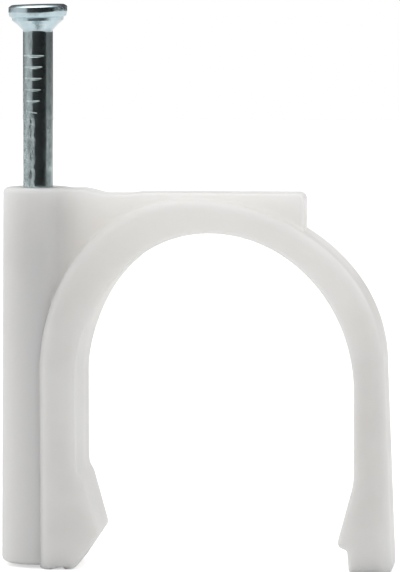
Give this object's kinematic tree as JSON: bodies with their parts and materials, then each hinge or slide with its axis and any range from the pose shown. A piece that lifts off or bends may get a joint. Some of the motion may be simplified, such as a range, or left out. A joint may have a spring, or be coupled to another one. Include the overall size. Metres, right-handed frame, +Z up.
{
  "type": "nail-in cable clip",
  "caption": "Moulded plastic saddle clip with two in-turned snap lips and a round boss that holds a steel nail, for fixing a round cable to a wall.",
  "frame": {"origin": "on the plane of the two feet, under the middle of the clip's overall length and depth", "axes": "+Z up the nail, away from the wall; +X from the nail's boss towards the free leg; Y along the cable"},
  "size_m": [0.0356, 0.008, 0.0508],
  "materials": {
    "clip_plastic": "moulded off-white plastic with a soft satin skin",
    "nail_steel": "bright zinc plating with a faint blue tint"
  },
  "bodies": {
    "root": {"clip_body": "clip_plastic", "nail": "nail_steel"}
  },
  "joints": []
}
